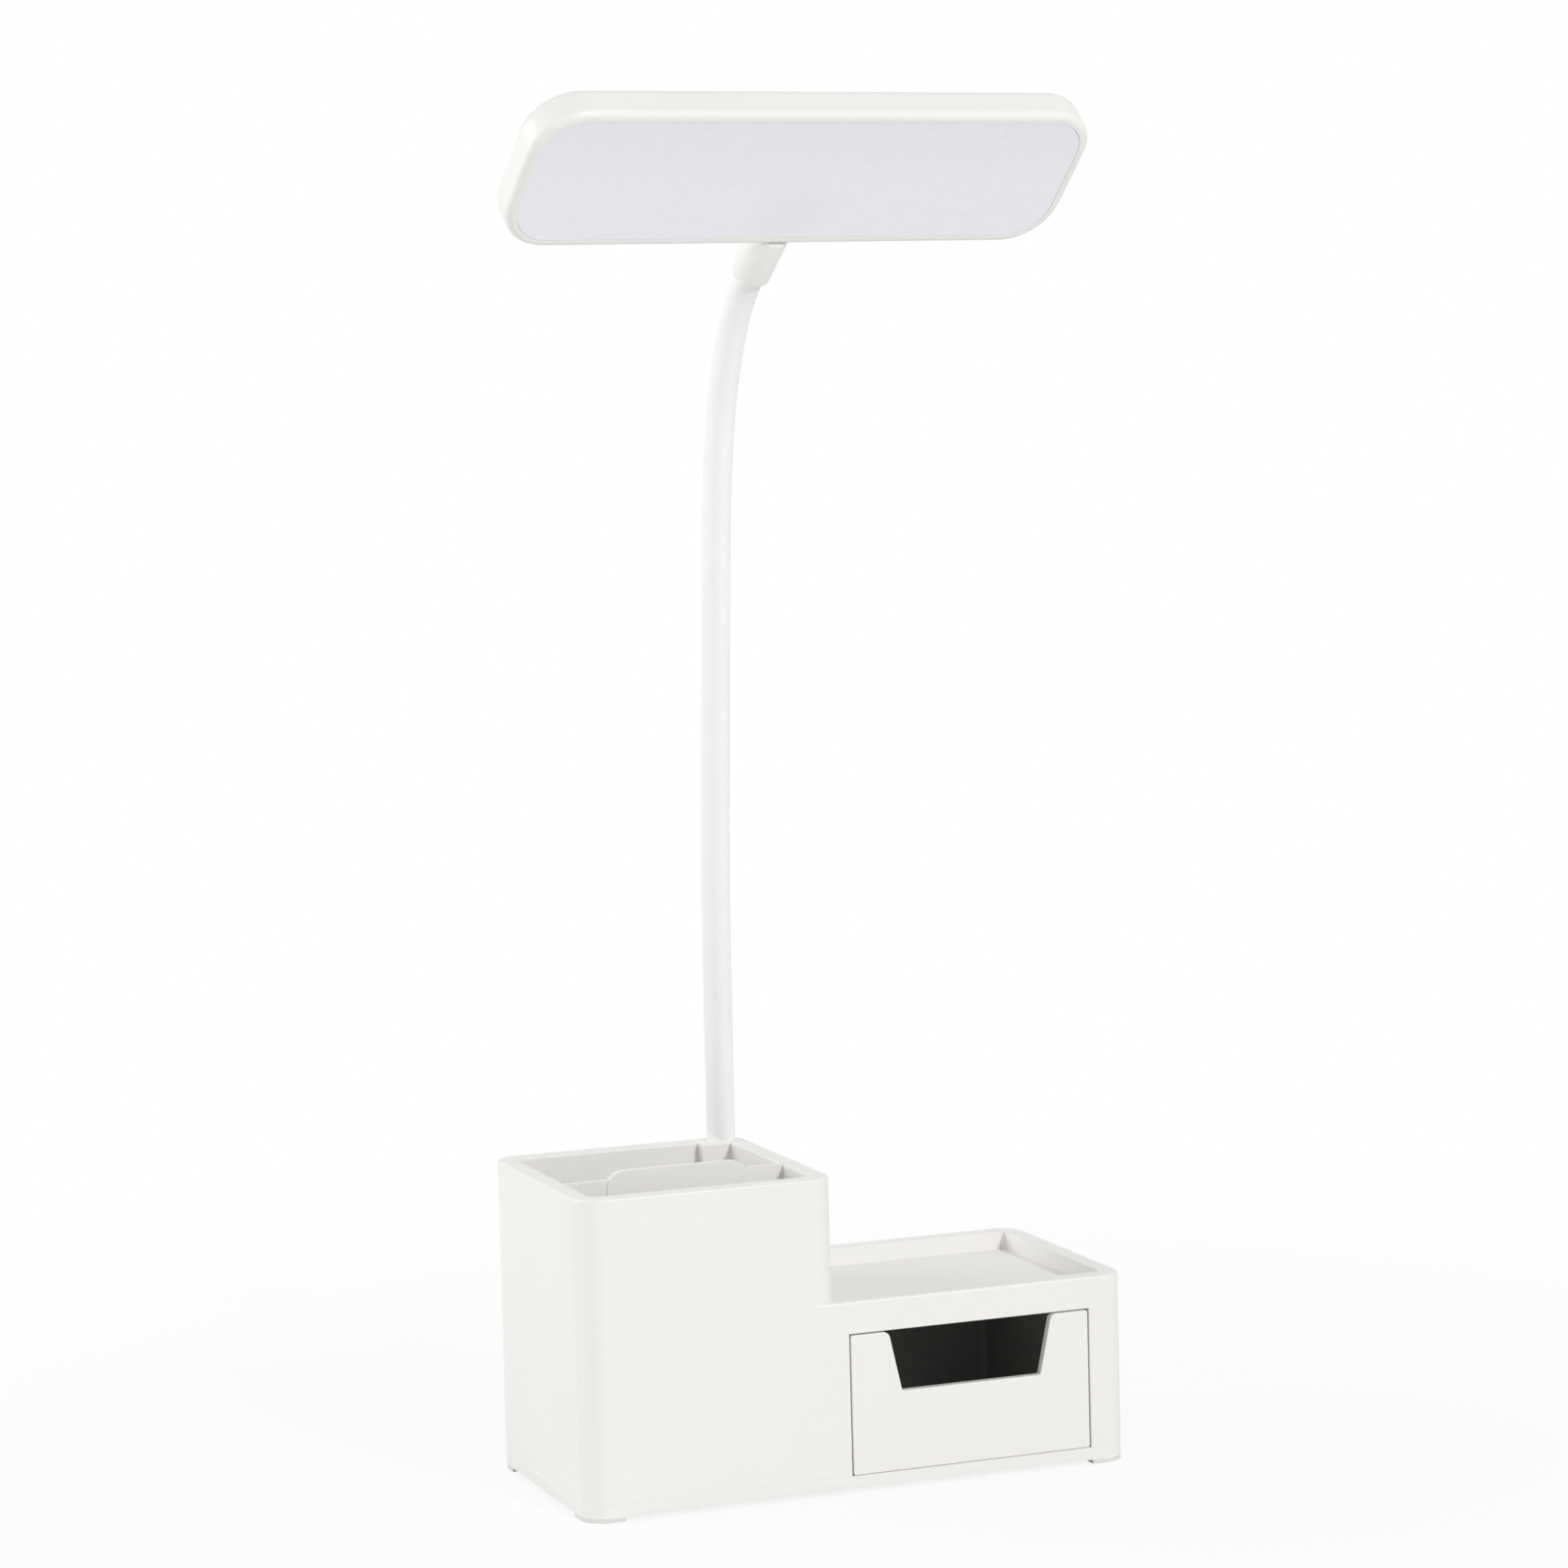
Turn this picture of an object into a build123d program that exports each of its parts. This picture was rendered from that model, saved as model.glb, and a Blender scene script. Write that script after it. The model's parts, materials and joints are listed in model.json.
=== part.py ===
from build123d import *
import math
import os

# Desk lamp on a stepped base: a tall pen cup on the left, a low tray with a drawer
# under it on the right, and a bendable neck that carries a flat panel head.
# Millimetres. While it is built, x runs from the left face, y from the front face and
# z from the underside of the bottom plate. At the end everything moves so that the
# origin is the centre of the base, on the desk, with +Z up and -Y towards the user.

# --- base, outside ---
base_length = 184.5
base_depth = 88.3
cup_length = 85.0
cup_height = 100.0
tray_height = 60.0
corner_radius = 7.8
edge_round = 0.8
seam_chamfer = 0.2
wall = 2.0
top_skin = 2.4
plate_thickness = 4.1
foot_size = 12.6
foot_height = 1.3

# --- pen cup ---
cup_rim = 6.2
cup_floor = 26.0
cup_corner = 1.2
divider_front = 30.0
divider_thickness = 1.8
divider_groove = 1.1
divider_play = 0.15
divider_tab_left = 19.5
divider_tab_width = 47.6
divider_tab_rise = 2.8
divider_tab_corner = 6.0
divider_tab_proud = 0.6
divider_foot_gap = 0.1

# --- tray ---
tray_rim = 6.2
tray_depth = 6.0
tray_corner = 1.2

# --- drawer and its bay ---
bay_left_wall = 3.4
bay_right_wall = 13.1
bay_roof = 4.4
bay_back_wall = 8.3
drawer_gap = 0.5
drawer_sole_gap = 0.15
front_thickness = 2.6
front_corner = 0.8
front_edge_round = 0.4
bay_edge_round = 0.3
tub_side_gap = 1.5
tub_height = 40.0
tub_wall = 1.8
tub_back_gap = 2.0
tub_corner = 2.0
tub_rib_depth = 5.0
tub_rib_thickness = 1.4
notch_inset = 13.5
notch_top_width = 56.2
notch_slope = 4.2
notch_depth = 19.3
notch_lip_round = 2.4
notch_foot_round = 0.8
stop_proud = 1.0
stop_play = 0.15
stop_thickness = 2.0
stop_height = 12.0
stop_rise = 8.0
stop_setback = 4.0

# --- screws that close the base ---
screw_inset = 7.0
boss_radius = 3.2
boss_bore = 1.25
screw_shank = 1.2
screw_length = 12.0
screw_head = 2.9
screw_head_height = 1.6
screw_hole = 1.6
screw_head_play = 0.1
driver_slot = 0.7

# --- neck post in the rear right corner of the cup ---
neck_side_inset = 7.5
neck_back_inset = 5.4
post_width = 15.9
post_depth = 10.9
post_skin = 1.7
post_corner_skin = 0.9
post_boss_length = 28.0
ferrule_radius = 3.6
ferrule_play = 0.05
ferrule_tail = 3.4
clip_thickness = 1.2
clip_play = 0.05
clip_radius = 4.4
clip_depth = 7.0
clip_groove = 0.9
clip_mouth_share = 0.9

# --- neck ---
neck_yaw = 6.1
neck_radius = 4.7
core_radius = 3.0
core_bore = 1.4
core_play = 0.1
stub_radius = 2.2
ball_radius = 4.0
ball_play = 0.06
skirt = 1.0
shoulder = 2.9
core_start = 4.4
foot_link_length = 14.0
link_length = 36.0
tip_link_length = 21.2
link_turns = (0.6, 0.0, 1.4, 2.0, 0.0, 0.0, 5.8, 16.0, 20.8)

# --- collar between neck and head ---
collar_start = 1.7
collar_length = 19.5
collar_radius = 6.8
collar_foot_radius = 6.3
collar_foot_round = 2.6
collar_grip = 9.0
collar_play = 0.05
collar_web = 2.4
chamber_radius = 4.55
washer_thickness = 0.4
washer_radius = 6.2
washer_play = 0.05
swivel_radius = 3.0
swivel_bore = 1.7
swivel_play = 0.05
swivel_flange = 4.4
swivel_flange_height = 1.2
nut_radius = 3.5
nut_length = 2.4

# --- head, front face at local z = 0, back towards local -z ---
head_length = 192.6
head_width = 55.4
head_thickness = 12.6
head_corner = 16.6
head_wall = 1.8
head_back_round = 4.0
stub_length = 0.5
stub_play = 0.05
stub_outer = 6.5
nut_gap = 0.5
head_inner_round = 0.4
bezel_depth = 3.0
bezel_rim = 3.4
bezel_round = 2.3
bezel_seat = 1.1
diffuser_step = 2.2
diffuser_recess = 0.15
diffuser_play = 0.1
guide_thickness = 3.0
guide_side_gap = 2.5
guide_front_gap = 4.7
guide_back_gap = 7.2
reflector_thickness = 0.4
backing_thickness = 1.0
backing_margin = 2.2
backing_side_margin = 0.5
head_boss_radius = 2.6
head_boss_end_inset = 26.0
head_boss_side_inset = 13.7
head_screw_radius = 0.85
head_screw_length = 3.0
head_screw_head = 1.9
head_screw_head_height = 0.6
strip_end_inset = 14.3
strip_thickness = 1.0
chip_count = 28
chip_length = 3.0
chip_thickness = 0.8
chip_height = 1.6
chip_rise = 0.8
head_lead_radius = 0.8
head_lead_gap = 0.8
head_lead_bend = 1.2
head_lead_drop = 4.0
head_lead_level_gap = 1.0
head_lead_end_inset = 38.0
head_lead_edge_inset = 8.7

# --- inside the base ---
weight_left = 12.0
weight_front = 9.0
weight_length = 56.0
weight_width = 40.0
weight_thickness = 8.0
weight_corner = 1.2
peg_radius = 2.0
peg_head = 3.4
peg_head_height = 1.2
peg_play = 0.1
peg_inset = 9.0
cell_radius = 9.2
cell_length = 65.0
cell_left = 6.5
cell_back_inset = 25.3
cell_rise = 0.4
cell_nub_radius = 2.6
cell_nub_length = 0.9
cradle_thickness = 2.0
cradle_play = 0.2
cradle_share = 0.75
cradle_inset = 13.0
board_left = 14.0
board_length = 40.0
board_height = 16.0
board_thickness = 1.6
board_rise = 1.2
board_rail = 1.2
board_play = 0.05
port_x = 24.0
port_level = 12.5
port_width = 9.0
port_height = 3.2
port_wall = 0.4
port_play = 0.15
port_recess = 0.3
tongue_width = 6.6
tongue_thickness = 0.7
tongue_setback = 0.8
button_x = 42.0
button_level = 12.5
button_radius = 4.0
button_play = 0.15
button_proud = 0.9
button_flange = 4.9
button_flange_height = 0.8
button_edge_round = 0.5
button_travel = 0.6
button_spare = 0.75
switch_size = 6.0
switch_depth = 2.1
stem_radius = 1.5
stem_play = 0.1
stem_bite = 0.6
lead_radius = 1.0
lead_bend = 2.0
lead_level = 13.0
lead_run_gap = 4.8
lead_reach = 6.0

# smallest length that still counts, for tests of place and for nearly round ends
sliver = 0.01

# --- worked out from the sizes above ---
tray_floor = tray_height - tray_depth
bay_left = cup_length + bay_left_wall
bay_right = base_length - bay_right_wall
bay_back = base_depth - bay_back_wall
bay_top = tray_floor - bay_roof
notch_left = bay_left + notch_inset
cup_right = cup_length - cup_rim
cup_back = base_depth - cup_rim
neck_x = cup_length - neck_side_inset
neck_y = base_depth - neck_back_inset
post_left = cup_length - post_width
post_front = base_depth - post_depth
neck_tip = collar_start + collar_grip - collar_play
cell_y = base_depth - cell_back_inset
switch_bore = stem_bite + button_travel + button_spare
flange_travel = button_play + button_flange_height + button_travel + button_spare
board_back_gap = switch_depth + flange_travel
rear_inside = base_depth - wall


def block(x0, x1, y0, y1, z0, z1):
    # box given by its two corners
    place = Pos((x0 + x1) / 2, (y0 + y1) / 2, (z0 + z1) / 2)
    return place * Box(x1 - x0, y1 - y0, z1 - z0)


def slab(x0, x1, y0, y1, z0, z1, radius):
    # upright block with rounded corners in plan
    outline = RectangleRounded(x1 - x0, y1 - y0, radius)
    return Pos((x0 + x1) / 2, (y0 + y1) / 2, z0) * extrude(outline, amount=z1 - z0)


def rod(x, y, z0, z1, radius):
    # upright round bar
    return Pos(x, y, (z0 + z1) / 2) * Cylinder(radius, z1 - z0)


def rod_y(x, z, y0, y1, radius):
    # round bar along y
    return Pos(x, (y0 + y1) / 2, z) * Rot(90, 0, 0) * Cylinder(radius, y1 - y0)


def level_edges(solid, level):
    # the edges that lie in the plane z = level
    return [e for e in solid.edges() if abs(e.bounding_box().min.Z - level) < sliver
            and abs(e.bounding_box().max.Z - level) < sliver]


def round_top(solid, level, radius):
    return fillet(level_edges(solid, level), radius)


def face_edges(solid, x0, x1):
    # the edges that lie in the front plane y = 0, between two lengths
    boxes = [(e, e.bounding_box()) for e in solid.edges()]
    return [e for e, b in boxes if abs(b.min.Y) < sliver and abs(b.max.Y) < sliver
            and b.min.X > x0 - sliver and b.max.X < x1 + sliver]


# ---------------------------------------------------------------- base shell
left_inset = screw_inset
right_inset = base_length - screw_inset
front_inset = screw_inset
back_inset = base_depth - screw_inset
cup_bosses = [(left_inset, front_inset), (left_inset, back_inset),
              (cup_right - screw_inset / 2, front_inset), (post_left - screw_inset, back_inset)]
tray_bosses = [(right_inset, front_inset), (right_inset, back_inset)]

drawer_low = plate_thickness + drawer_sole_gap
drawer_high = bay_top - drawer_gap


def make_base_shell():
    tall = slab(0, cup_length, 0, base_depth, plate_thickness, cup_height, corner_radius)
    tall = round_top(tall, cup_height, edge_round)
    low = slab(0, base_length, 0, base_depth, plate_thickness, tray_height, corner_radius)
    low = round_top(low, tray_height, edge_round)
    shell = tall + low
    shell = chamfer(level_edges(shell, plate_thickness), seam_chamfer)

    # hollow between the outer skin and the walls of cup, tray and bay
    inner_radius = corner_radius - wall
    hollow = slab(wall, cup_length - wall, wall, rear_inside, plate_thickness,
                  cup_height - top_skin, inner_radius)
    hollow += slab(wall, base_length - wall, wall, rear_inside, plate_thickness,
                   tray_height - top_skin, inner_radius)
    hollow -= slab(cup_rim - wall, cup_right + wall, cup_rim - wall, cup_back + wall,
                   cup_floor - wall, cup_height, cup_corner + wall)
    hollow -= block(post_left, cup_length, post_front, base_depth,
                    cup_floor - wall, cup_height)
    hollow -= block(bay_left - wall, bay_right + wall, 0, bay_back + wall,
                    plate_thickness, tray_floor)
    hollow -= block(cup_length - wall, base_length - tray_rim + wall, tray_rim - wall,
                    base_depth - tray_rim + wall, tray_floor - wall, tray_height)
    # wall between cup and tray, above the tray rim
    hollow -= block(cup_length - wall, cup_length + wall, wall, rear_inside,
                    tray_floor - wall, tray_height)
    for x, y in cup_bosses:
        hollow -= rod(x, y, plate_thickness, cup_floor - wall, boss_radius)
    for x, y in tray_bosses:
        hollow -= rod(x, y, plate_thickness, tray_height - top_skin, boss_radius)
    # rails that hold the control board upright
    hollow -= block(board_left - board_rail, board_left + board_rail, board_face - board_rail,
                    rear_inside, board_low, board_low + board_height)
    hollow -= block(board_right - board_rail, board_right + board_rail,
                    board_face - board_rail, rear_inside, board_low, board_low + board_height)
    shell -= hollow

    # pen cup with the post left standing in its rear right corner
    pocket = slab(cup_rim, cup_right, cup_rim, cup_back, cup_floor, cup_height, cup_corner)
    pocket -= block(post_left, cup_length, post_front, base_depth, cup_floor, cup_height)
    shell -= pocket
    shell = fillet(pocket_rim_edges(shell), edge_round)
    groove_front = divider_front - divider_play
    groove_back = divider_front + divider_thickness + divider_play
    shell -= block(cup_rim - divider_groove, cup_right + divider_groove, groove_front,
                   groove_back, cup_floor, cup_height)

    # tray, open to the side of the cup
    tray = slab(cup_length - cup_rim, base_length - tray_rim, tray_rim,
                base_depth - tray_rim, tray_floor, tray_height, tray_corner)
    shell -= tray - block(0, cup_length, 0, base_depth, 0, cup_height)
    shell -= block(bay_left, bay_right, 0, bay_back, plate_thickness, bay_top)
    mouth = [e for e in face_edges(shell, bay_left, bay_right)
             if e.center().Z > plate_thickness + 2 * seam_chamfer]
    shell = fillet(mouth, bay_edge_round)
    for side, x in ((1, bay_left), (-1, bay_right)):
        near, far = sorted((x, x + side * stop_proud))
        shell += block(near, far, front_thickness + stop_setback,
                       front_thickness + stop_setback + stop_thickness,
                       plate_thickness + stop_rise, plate_thickness + stop_rise + stop_height)

    for x, y in cup_bosses + tray_bosses:
        shell -= rod(x, y, plate_thickness, plate_thickness + screw_length, boss_bore)

    # neck bore, and the wire channel below its boss
    shell -= rod(neck_x, neck_y, boss_low, cup_height, ferrule_radius + ferrule_play)
    channel = block(post_left + post_skin, cup_length - wall, post_front + post_skin,
                    base_depth - post_skin, plate_thickness, boss_low)
    # the channel follows the rounded outer corner, so that a skin is left there
    shell -= channel & slab(post_corner_skin, cup_length - post_corner_skin,
                            post_corner_skin, base_depth - post_corner_skin,
                            plate_thickness, cup_height, corner_radius - post_corner_skin)

    # rear openings for the charging port and the button
    port_w = port_width / 2 + port_play
    port_h = port_height / 2 + port_play
    port_hole = RectangleRounded(2 * port_w, 2 * port_h, port_h - sliver)
    port_cut = Pos(port_x, rear_inside - wall, port_level) * Rot(-90, 0, 0)
    shell -= port_cut * extrude(port_hole, amount=3 * wall)
    shell -= rod_y(button_x, button_level, rear_inside - wall, base_depth + wall,
                   button_radius + button_play)
    # slots in the rails for the board itself
    shell -= block(board_left - board_play, board_right + board_play,
                   board_face - board_thickness - board_play, board_face + board_play,
                   board_low - board_play, board_low + board_height + board_play)
    return shell


def pocket_rim_edges(solid):
    # straight and curved edges of the cup mouth, in the rim's plane
    found = []
    for e in solid.edges():
        b = e.bounding_box()
        level = abs(b.min.Z - cup_height) < sliver and abs(b.max.Z - cup_height) < sliver
        inside = b.min.X > cup_rim - sliver and b.max.X < cup_right + sliver
        inside = inside and b.min.Y > cup_rim - sliver and b.max.Y < cup_back + sliver
        if level and inside:
            found.append(e)
    return found


boss_low = cup_height - post_boss_length
board_face = rear_inside - board_back_gap
board_right = board_left + board_length
board_low = plate_thickness + board_rise
base_shell = make_base_shell()


# ---------------------------------------------------------------- bottom plate, feet, screws
weight_right = weight_left + weight_length
weight_back = weight_front + weight_width
weight_mid_y = weight_front + weight_width / 2
peg_points = [(weight_left + peg_inset, weight_mid_y), (weight_right - peg_inset, weight_mid_y)]
cell_z = plate_thickness + cell_rise + cell_radius
all_bosses = cup_bosses + tray_bosses


def make_bottom_plate():
    plate = slab(0, base_length, 0, base_depth, 0, plate_thickness, corner_radius)
    plate = chamfer(level_edges(plate, plate_thickness), seam_chamfer)
    for x, y in all_bosses:
        plate -= rod(x, y, 0, plate_thickness, screw_hole)
        plate -= rod(x, y, 0, screw_head_height, screw_head + screw_head_play)
    for x, y in peg_points:
        plate += rod(x, y, plate_thickness, plate_thickness + weight_thickness, peg_radius)
        plate += rod(x, y, plate_thickness + weight_thickness,
                     plate_thickness + weight_thickness + peg_head_height, peg_head)
    # two cradle ribs under the cell
    seat = cell_radius + cradle_play
    for x in (cell_left + cradle_inset, cell_left + cell_length - cradle_inset):
        rib = block(x - cradle_thickness / 2, x + cradle_thickness / 2, cell_y - seat,
                    cell_y + seat, plate_thickness, cell_z - seat * (1 - cradle_share))
        rib -= Pos(x, cell_y, cell_z) * Rot(0, 90, 0) * Cylinder(seat, 2 * cradle_thickness)
        plate += rib
    # end stops of the cell
    for x in (cell_left - cradle_thickness - cradle_play,
              cell_left + cell_length + cell_nub_length + cradle_play):
        plate += block(x, x + cradle_thickness, cell_y - cell_radius / 2,
                       cell_y + cell_radius / 2, plate_thickness, cell_z)
    # ledge that carries the control board
    plate += block(board_left + 2 * board_rail, board_right - 2 * board_rail,
                   board_face - board_thickness - board_rail, board_face + board_rail,
                   plate_thickness, board_low - board_play)
    return plate


bottom_plate = make_bottom_plate()


def make_feet():
    pads = []
    outline = slab(0, base_length, 0, base_depth, -foot_height, 0, corner_radius)
    for x0 in (0, base_length - foot_size):
        for y0 in (0, base_depth - foot_size):
            square = block(x0, x0 + foot_size, y0, y0 + foot_size, -foot_height, 0)
            pads.append(square & outline)
    return Compound(pads)


rubber_feet = make_feet()


def make_plate_screws():
    screws = []
    for x, y in all_bosses:
        screw = rod(x, y, 0, screw_head_height, screw_head)
        screw += rod(x, y, 0, screw_length, screw_shank)
        screw -= block(x - screw_head / 2, x + screw_head / 2, y - driver_slot / 2,
                       y + driver_slot / 2, 0, screw_head_height / 2)
        screw -= block(x - driver_slot / 2, x + driver_slot / 2, y - screw_head / 2,
                       y + screw_head / 2, 0, screw_head_height / 2)
        screws.append(screw)
    return Compound(screws)


plate_screws = make_plate_screws()


# ---------------------------------------------------------------- pen divider
def make_divider():
    low = cup_floor + divider_foot_gap
    back = divider_front + divider_thickness
    ear = divider_groove - divider_play
    sheet = block(cup_rim - ear, cup_right + ear, divider_front, back, low, cup_height)
    # middle panel, a little proud, whose rounded top is the tab to pull it out by
    tab = block(divider_tab_left, divider_tab_left + divider_tab_width,
                divider_front - divider_tab_proud, back, low, cup_height + divider_tab_rise)
    tops = [e for e in tab.edges().filter_by(Axis.Y)
            if e.center().Z > cup_height + divider_tab_rise - sliver]
    return sheet + fillet(tops, divider_tab_corner)


pen_divider = make_divider()


# ---------------------------------------------------------------- drawer
def make_drawer_front():
    x0 = bay_left + drawer_gap
    x1 = bay_right - drawer_gap
    z0 = drawer_low
    right = notch_left + notch_top_width
    foot = drawer_high - notch_depth
    corners = [(x0, z0), (x1, z0), (x1, drawer_high), (right, drawer_high),
               (right - notch_slope, foot), (notch_left + notch_slope, foot),
               (notch_left, drawer_high), (x0, drawer_high)]
    face = Polygon(*corners, align=None)
    points = face.vertices()
    lips = [v for v in points if abs(v.Y - drawer_high) < sliver
            and x0 + sliver < v.X < x1 - sliver]
    feet = [v for v in points if abs(v.Y - foot) < sliver]
    outer = [v for v in points if v not in lips and v not in feet]
    face = fillet(outer, front_corner)
    points = face.vertices()
    lips = [v for v in points if abs(v.Y - drawer_high) < sliver
            and notch_left - sliver < v.X < right + sliver]
    face = fillet(lips, notch_lip_round)
    feet = [v for v in face.vertices() if abs(v.Y - foot) < sliver]
    face = fillet(feet, notch_foot_round)
    plate = Pos(0, front_thickness, 0) * Rot(90, 0, 0) * extrude(face, amount=front_thickness)
    plate = fillet(face_edges(plate, x0, x1), front_edge_round)
    # ribs that the sides of the tub slide over
    for x in (tub_left + tub_wall, tub_right - tub_wall - tub_rib_thickness):
        plate += block(x, x + tub_rib_thickness, front_thickness,
                       front_thickness + tub_rib_depth, drawer_low + tub_wall,
                       drawer_low + tub_height - tub_wall)
    return plate


def make_drawer_tub():
    z0 = drawer_low
    z1 = drawer_low + tub_height
    tub = block(tub_left, tub_right, front_thickness, tub_back, z0, z1)
    inside = slab(tub_left + tub_wall, tub_right - tub_wall, front_thickness - tub_corner * 2,
                  tub_back - tub_wall, z0 + tub_wall, z1, tub_corner)
    tub -= inside
    # lugs that meet the stops in the bay
    stop_reach = tub_side_gap - stop_play
    tub += block(tub_left - stop_reach, tub_left, tub_back - stop_thickness,
                 tub_back, z0 + stop_rise, z0 + stop_rise + stop_height)
    tub += block(tub_right, tub_right + stop_reach,
                 tub_back - stop_thickness, tub_back, z0 + stop_rise,
                 z0 + stop_rise + stop_height)
    return tub


tub_left = bay_left + tub_side_gap
tub_right = bay_right - tub_side_gap
tub_back = bay_back - tub_back_gap
drawer_front = make_drawer_front()
drawer_tub = make_drawer_tub()


# ---------------------------------------------------------------- inside the base
def make_counterweight():
    weight = slab(weight_left, weight_right, weight_front, weight_back, plate_thickness,
                  plate_thickness + weight_thickness, weight_corner)
    for x, y in peg_points:
        weight -= rod(x, y, plate_thickness, plate_thickness + weight_thickness,
                      peg_radius + peg_play)
    return weight


def make_cell():
    lying = Rot(0, 90, 0)
    body = Pos(cell_left + cell_length / 2, cell_y, cell_z) * lying
    cell = body * Cylinder(cell_radius, cell_length)
    nub = Pos(cell_left + cell_length + cell_nub_length / 2, cell_y, cell_z) * lying
    return cell + nub * Cylinder(cell_nub_radius, cell_nub_length)


def make_usb_inlet():
    reach = base_depth - port_recess - board_face
    place = Pos(port_x, board_face, port_level) * Rot(-90, 0, 0)
    can = RectangleRounded(port_width, port_height, port_height / 2 - sliver)
    bore = RectangleRounded(port_width - 2 * port_wall, port_height - 2 * port_wall,
                            port_height / 2 - port_wall - sliver)
    body = extrude(can, amount=reach)
    body -= Pos(0, 0, port_wall) * extrude(bore, amount=reach)
    tongue = Rectangle(tongue_width, tongue_thickness)
    body += extrude(tongue, amount=reach - tongue_setback)
    return place * body


def make_tactile_switch():
    half = switch_size / 2
    body = block(button_x - half, button_x + half, board_face, board_face + switch_depth,
                 button_level - half, button_level + half)
    face = board_face + switch_depth
    body -= rod_y(button_x, button_level, face - switch_bore, face, stem_radius + stem_play)
    return body


def make_button():
    flange_back = rear_inside - button_play
    flange_front = flange_back - button_flange_height
    cap = rod_y(button_x, button_level, flange_front, base_depth + button_proud,
                button_radius)
    rim = [e for e in cap.edges() if e.center().Y > base_depth]
    cap = fillet(rim, button_edge_round)
    cap += rod_y(button_x, button_level, flange_front, flange_back, button_flange)
    cap += rod_y(button_x, button_level, board_face + switch_depth - stem_bite,
                 flange_front, stem_radius)
    return cap


def make_base_lead():
    start_x = board_right - board_rail * 3
    run_y = board_face - board_thickness - lead_run_gap
    points = [(start_x, board_face - board_thickness, lead_level),
              (start_x, run_y, lead_level), (neck_x - lead_reach, run_y, lead_level),
              (neck_x, neck_y, lead_level + lead_reach),
              (neck_x, neck_y, boss_low - ferrule_tail + lead_reach / 2)]
    path = FilletPolyline(*points, radius=lead_bend)
    start = Plane(origin=path @ 0, z_dir=path % 0)
    return sweep(start * Circle(lead_radius), path=path)


counterweight = make_counterweight()
battery_cell = make_cell()
control_board = block(board_left, board_right, board_face - board_thickness, board_face,
                      board_low, board_low + board_height)
usb_inlet = make_usb_inlet()
tactile_switch = make_tactile_switch()
power_button = make_button()
base_lead = make_base_lead()


# ---------------------------------------------------------------- neck centre line
yaw = math.radians(neck_yaw)
side = Vector(math.cos(yaw), math.sin(yaw), 0)
ahead = Vector(math.sin(yaw), -math.cos(yaw), 0)
up = Vector(0, 0, 1)
neck_foot = Vector(neck_x, neck_y, cup_height)
link_count = len(link_turns)
link_lengths = [foot_link_length] + [link_length] * (link_count - 2) + [tip_link_length]
starts = [sum(link_lengths[:i]) for i in range(link_count + 1)]
neck_length = starts[-1]


def centre(reach):
    # point of the centre line in its own plane (ahead, up) and its lean, at an arc length
    s, h, lean = 0.0, 0.0, 0.0
    if reach <= 0:
        return 0.0, reach, 0.0
    for length, turn in zip(link_lengths + [neck_tip + neck_length], link_turns + (0.0,)):
        run = min(length, reach)
        bend = math.radians(turn) * run / length
        if turn == 0:
            s += run * math.sin(lean)
            h += run * math.cos(lean)
        else:
            radius = length / math.radians(turn)
            s += radius * (math.cos(lean) - math.cos(lean + bend))
            h += radius * (math.sin(lean + bend) - math.sin(lean))
        lean += bend
        reach -= run
        if reach <= 1e-9:
            break
    return s, h, lean


def spot(reach):
    s, h, lean = centre(reach)
    return neck_foot + ahead * s + up * h


def heading(reach):
    s, h, lean = centre(reach)
    return ahead * math.sin(lean) + up * math.cos(lean)


def along(first, last, radius):
    # round bar that follows the centre line between two arc lengths
    marks = [first] + [m for m in starts if first + sliver < m < last - sliver] + [last]
    bar = None
    for a, b in zip(marks, marks[1:]):
        tilt = centre(b)[2] - centre(a)[2]
        if abs(tilt) < 1e-9:
            edge = Line(spot(a), spot(b))
        else:
            edge = ThreePointArc(spot(a), spot((a + b) / 2), spot(b))
        piece = sweep(Plane(origin=spot(a), z_dir=heading(a)) * Circle(radius), path=edge)
        bar = piece if bar is None else bar + piece
    return bar


pivots = starts[1:]


def make_sleeve(k):
    low = 0.0 if k == 0 else pivots[k - 1]
    high = pivots[k] - shoulder if k < link_count - 1 else neck_length + neck_tip
    sleeve = along(low, high, neck_radius)
    if k > 0:
        # skirt round the ball, straight on from the sleeve's lower end
        end = Plane(origin=spot(low), z_dir=heading(low))
        sleeve += extrude(end * Circle(neck_radius), amount=-skirt)
    sleeve -= along(low, high, core_radius + core_play)
    if k > 0:
        sleeve -= Pos(*spot(low)) * Sphere(ball_radius + ball_play)
    return sleeve


def make_core(k):
    if k < link_count - 1:
        high = pivots[k]
        ball = Pos(*spot(high)) * Sphere(ball_radius)
    else:
        high = neck_length + neck_tip
        ball = None
    low = 0.0 if k == 0 else pivots[k - 1] + core_start
    core = along(low, high, core_radius)
    if ball is not None:
        core += ball
    if k == 0:
        core += rod(neck_x, neck_y, boss_low - ferrule_tail, cup_height, stub_radius)
        core -= rod(neck_x, neck_y, boss_low - ferrule_tail, cup_height, core_bore)
    return core - along(low, high + 2 * ball_radius, core_bore)


neck_sleeves = [make_sleeve(k) for k in range(link_count)]
neck_cores = [make_core(k) for k in range(link_count)]

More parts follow.
